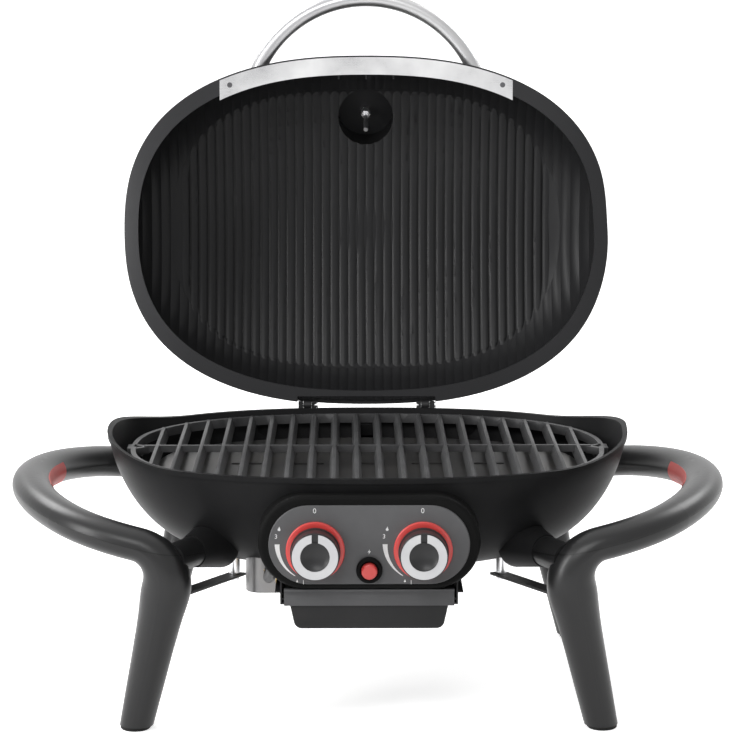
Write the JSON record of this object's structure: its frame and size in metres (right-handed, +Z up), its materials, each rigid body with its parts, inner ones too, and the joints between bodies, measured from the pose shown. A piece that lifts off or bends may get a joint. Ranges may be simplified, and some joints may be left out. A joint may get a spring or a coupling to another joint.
{
  "type": "tabletop gas grill",
  "caption": "Oval tabletop gas grill with an open fluted lid, iron grate, control knobs, pull-out drip tray and loop handles that run into the legs.",
  "frame": {"origin": "on the floor, under the middle of the box of the open grill", "axes": "+X to the right along the grill's width, +Y to the rear where the lid stands, +Z up; -Y is the front with the knobs"},
  "size_m": [0.7294, 0.5868, 0.7065],
  "materials": {
    "cast_black": "satin black enamel on cast aluminium",
    "housing_black": "satin black moulded, heat resistant",
    "fascia_grey": "grey metallic paint",
    "grate_iron": "matt enamel on cast iron",
    "heat_plate_steel": "plain sheet steel",
    "burner_steel": "plain steel tube",
    "ceramic_white": "glazed ceramic",
    "fastener_steel": "zinc plated",
    "black_plastic": "satin moulded",
    "red_plastic": "glossy red",
    "knob_black": "satin moulded",
    "silver_trim": "satin silver",
    "brass": "machined",
    "pipe_black": "black",
    "bracket_steel": "galvanised sheet",
    "tray_black": "satin black",
    "frame_black": "satin black moulded nylon",
    "red_grip": "red moulded insert",
    "foot_rubber": "matt",
    "stay_steel": "black",
    "hinge_steel": "black",
    "brushed_trim": "brushed lengthwise",
    "handle_silver": "satin silver tube",
    "gauge_steel": "satin",
    "dial_white": "printed dial",
    "gauge_glass": "clear",
    "needle_red": "red",
    "probe_steel": "heat stained"
  },
  "bodies": {
    "base": {"bowl": "cast_black", "frame_bolts": "fastener_steel", "burner_left": "burner_steel", "burner_right": "burner_steel", "spark_electrodes": "ceramic_white", "control_housing": "housing_black", "fascia_plate": "fascia_grey", "igniter_collar": "black_plastic", "igniter_body": "black_plastic", "knob_ring_left": "red_plastic", "knob_ring_right": "red_plastic", "valve_body_left": "brass", "valve_body_right": "brass", "gas_manifold": "pipe_black", "gas_inlet": "brass", "inlet_bracket": "bracket_steel", "tray_rail_left": "tray_black", "tray_rail_right": "tray_black", "side_frame_left": "frame_black", "side_frame_right": "frame_black", "grip_insert_left": "red_grip", "grip_insert_right": "red_grip", "feet": "foot_rubber", "leg_stays": "stay_steel", "stay_posts": "fastener_steel", "stay_screws": "fastener_steel", "hinge_ears": "hinge_steel", "hinge_pins": "fastener_steel"},
    "heat_plate": {"heat_plate": "heat_plate_steel"},
    "grate": {"grate": "grate_iron"},
    "lid": {"lid": "cast_black", "lid_trim": "brushed_trim", "trim_screws": "fastener_steel", "lid_handle": "handle_silver", "handle_screws": "fastener_steel", "lid_hinge_leaves": "hinge_steel", "thermometer_case": "gauge_steel", "thermometer_bezel": "gauge_steel", "thermometer_dial": "dial_white", "thermometer_lens": "gauge_glass", "thermometer_probe": "probe_steel", "thermometer_nuts": "probe_steel"},
    "needle": {"thermometer_needle": "needle_red"},
    "valve_left": {"valve_plug_left": "brass"},
    "valve_right": {"valve_plug_right": "brass"},
    "knob_left": {"knob_left": "knob_black", "knob_face_left": "silver_trim", "valve_stem_left": "fastener_steel"},
    "knob_right": {"knob_right": "knob_black", "knob_face_right": "silver_trim", "valve_stem_right": "fastener_steel"},
    "igniter": {"igniter_button": "red_plastic"},
    "tray": {"drip_tray": "tray_black", "tray_front": "fascia_grey"}
  },
  "joints": [
    {"name": "lid_hinge", "type": "hinge", "parent": "base", "child": "lid", "pos_m": [0, 0.13144, 0.2565], "axis": [1, 0, 0], "range_deg": [0, 95]},
    {"name": "needle_turn", "type": "hinge", "parent": "lid", "child": "needle", "pos_m": [0, 0.26491, 0.57157], "axis": [0, -0.9063, -0.4226], "range_deg": [0, 270], "stiffness_Nm_per_rad": 0.001},
    {"name": "grate_lift", "type": "slide", "parent": "base", "child": "grate", "axis": [0, 0, 1], "range_m": [0, 0.03]},
    {"name": "heat_plate_lift", "type": "slide", "parent": "base", "child": "heat_plate", "axis": [0, 0, 1], "range_m": [0, 0.006]},
    {"name": "igniter_push", "type": "slide", "parent": "base", "child": "igniter", "axis": [0, 1, 0], "range_m": [0, 0.006], "stiffness_N_per_m": 600},
    {"name": "tray_slide", "type": "slide", "parent": "base", "child": "tray", "axis": [0, -1, 0], "range_m": [0, 0.18]},
    {"name": "valve_left_turn", "type": "hinge", "parent": "base", "child": "valve_left", "pos_m": [-0.0516, -0.26006, 0.1875], "axis": [0, -1, 0], "range_deg": [0, 210]},
    {"name": "knob_left_push", "type": "slide", "parent": "valve_left", "child": "knob_left", "axis": [0, 1, 0], "range_m": [0, 0.0035], "stiffness_N_per_m": 800},
    {"name": "valve_right_turn", "type": "hinge", "parent": "base", "child": "valve_right", "pos_m": [0.0516, -0.26006, 0.1875], "axis": [0, -1, 0], "range_deg": [0, 210]},
    {"name": "knob_right_push", "type": "slide", "parent": "valve_right", "child": "knob_right", "axis": [0, 1, 0], "range_m": [0, 0.0035], "stiffness_N_per_m": 800}
  ]
}
